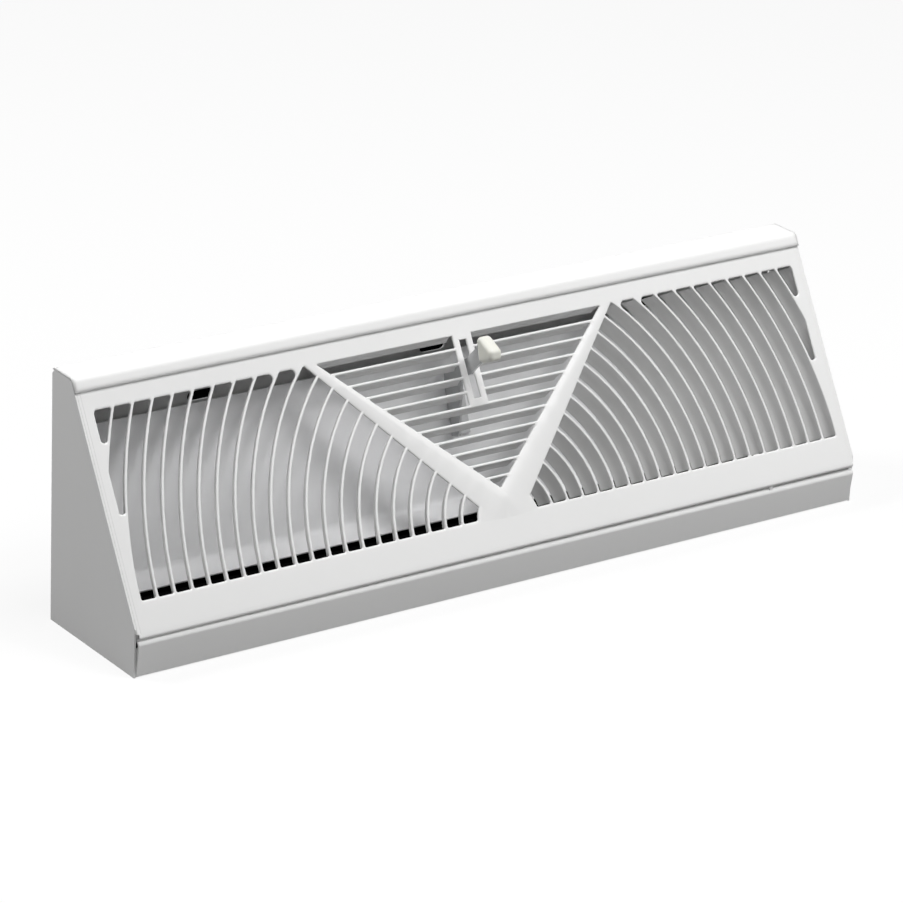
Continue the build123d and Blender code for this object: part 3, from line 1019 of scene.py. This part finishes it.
class REGISTER_OT_stage(bpy.types.Operator):
    """Floor, a near-black sheet of painted shade under and behind the register, soft light and camera"""

    bl_idname = "register.stage"
    bl_label = "Stage"

    def execute(self, context):
        stage = context.scene.register_stage
        scene = context.scene
        low, high = CAD_BOX
        reach = 6.0
        under = -0.2 * MM
        stage_sheet(
            "floor",
            [(-reach, -reach, under), (reach, -reach, under), (reach, reach, under), (-reach, reach, under)],
            floor_material(stage.floor))
        # Painted shade: a near-black sheet on the floor under the register and up its open back, where only shade
        # falls; it throws no shadow.
        painted_shade = painted_shade_material()
        inset = 4 * MM
        stage_sheet(
            "painted_shade_sheet",
            [
                (low[0] + inset, low[1] + inset, 0.5 * under),
                (high[0] - inset, low[1] + inset, 0.5 * under),
                (high[0] - inset, high[1] - under, 0.5 * under),
                (low[0] + inset, high[1] - under, 0.5 * under),
                (high[0] - inset, high[1] - under, high[2] - inset),
                (low[0] + inset, high[1] - under, high[2] - inset),
            ],
            painted_shade, [(0, 1, 2, 3), (3, 2, 4, 5)])

        world = scene.world or bpy.data.worlds.new("surround")
        scene.world = world
        world.use_nodes = True
        tree = world.node_tree
        background = tree.nodes["Background"]
        strength = tree.nodes.new("ShaderNodeMapRange")
        strength.inputs["To Min"].default_value = stage.ambient
        strength.inputs["To Max"].default_value = 1.0
        tree.links.new(seen_ray(tree), strength.inputs["Value"])
        background.inputs["Color"].default_value = (1.0, 1.0, 1.0, 1.0)
        tree.links.new(strength.outputs["Result"], background.inputs["Strength"])

        size = (0.6, 0.45)
        aim = (0.0, 0.0, 0.05)
        for name, watts, place in (
            ("top", stage.top, (0.08, -0.43, 1.69)),
            ("right", stage.right, (0.60, -0.86, 1.39)),
            ("low", stage.low, (1.36, -0.63, 0.85)),
            ("back", stage.back, (-0.84, 0.70, 1.35)),
            ("front", stage.front, (-0.67, -1.43, 0.69)),
        ):
            area_light("soft_box_" + name, watts, size, place, aim)

        back = Vector((
            math.sin(stage.azimuth) * math.cos(stage.elevation),
            -math.cos(stage.azimuth) * math.cos(stage.elevation),
            math.sin(stage.elevation),
        ))
        right = Vector((math.cos(stage.azimuth), math.sin(stage.azimuth), 0.0))
        up = back.cross(right)
        right_rolled = right * math.cos(stage.roll) + up * math.sin(stage.roll)
        up_rolled = up * math.cos(stage.roll) - right * math.sin(stage.roll)
        place = Vector(stage.target) + back * stage.distance
        camera = bpy.data.objects.new("camera", bpy.data.cameras.new("camera"))
        context.collection.objects.link(camera)
        camera.matrix_world = Matrix((
            (right_rolled.x, up_rolled.x, back.x, place.x),
            (right_rolled.y, up_rolled.y, back.y, place.y),
            (right_rolled.z, up_rolled.z, back.z, place.z),
            (0.0, 0.0, 0.0, 1.0),
        ))
        camera.data.sensor_width = 36.0
        camera.data.lens = stage.lens
        camera.data.clip_end = 100.0
        scene.camera = camera
        scene.view_settings.view_transform = "Standard"
        return {"FINISHED"}


class REGISTER_PT_panel(bpy.types.Panel):
    """The register's pieces and finishes"""

    bl_idname = "REGISTER_PT_panel"
    bl_label = "Register"
    bl_space_type = "VIEW_3D"
    bl_region_type = "UI"
    bl_category = "Register"

    def draw(self, context):
        for group in ("register_finish", "register_face", "register_toe", "register_knob", "register_stage"):
            properties = getattr(context.scene, group)
            box = self.layout.box()
            for key in properties.bl_rna.properties.keys():
                if key not in ("rna_type", "name"):
                    box.prop(properties, key)
        for operator in OPERATORS:
            self.layout.operator(operator.bl_idname)


GROUPS = (
    ("register_finish", RegisterFinish),
    ("register_face", RegisterFace),
    ("register_toe", RegisterToe),
    ("register_knob", RegisterKnob),
    ("register_stage", RegisterStage),
)
OPERATORS = (
    REGISTER_OT_housing, REGISTER_OT_toe, REGISTER_OT_face, REGISTER_OT_damper, REGISTER_OT_knob,
    REGISTER_OT_stage)


def register():
    for name, group in GROUPS:
        bpy.utils.register_class(group)
        setattr(bpy.types.Scene, name, bpy.props.PointerProperty(type=group))
    for operator in OPERATORS:
        bpy.utils.register_class(operator)
    bpy.utils.register_class(REGISTER_PT_panel)


def unregister():
    bpy.utils.unregister_class(REGISTER_PT_panel)
    for operator in reversed(OPERATORS):
        bpy.utils.unregister_class(operator)
    for name, group in reversed(GROUPS):
        delattr(bpy.types.Scene, name)
        bpy.utils.unregister_class(group)


def main():
    register()
    bpy.ops.register.housing()
    bpy.ops.register.toe()
    bpy.ops.register.face()
    bpy.ops.register.damper()
    bpy.ops.register.knob()
    bpy.ops.register.stage()


if __name__ == "__main__":
    main()
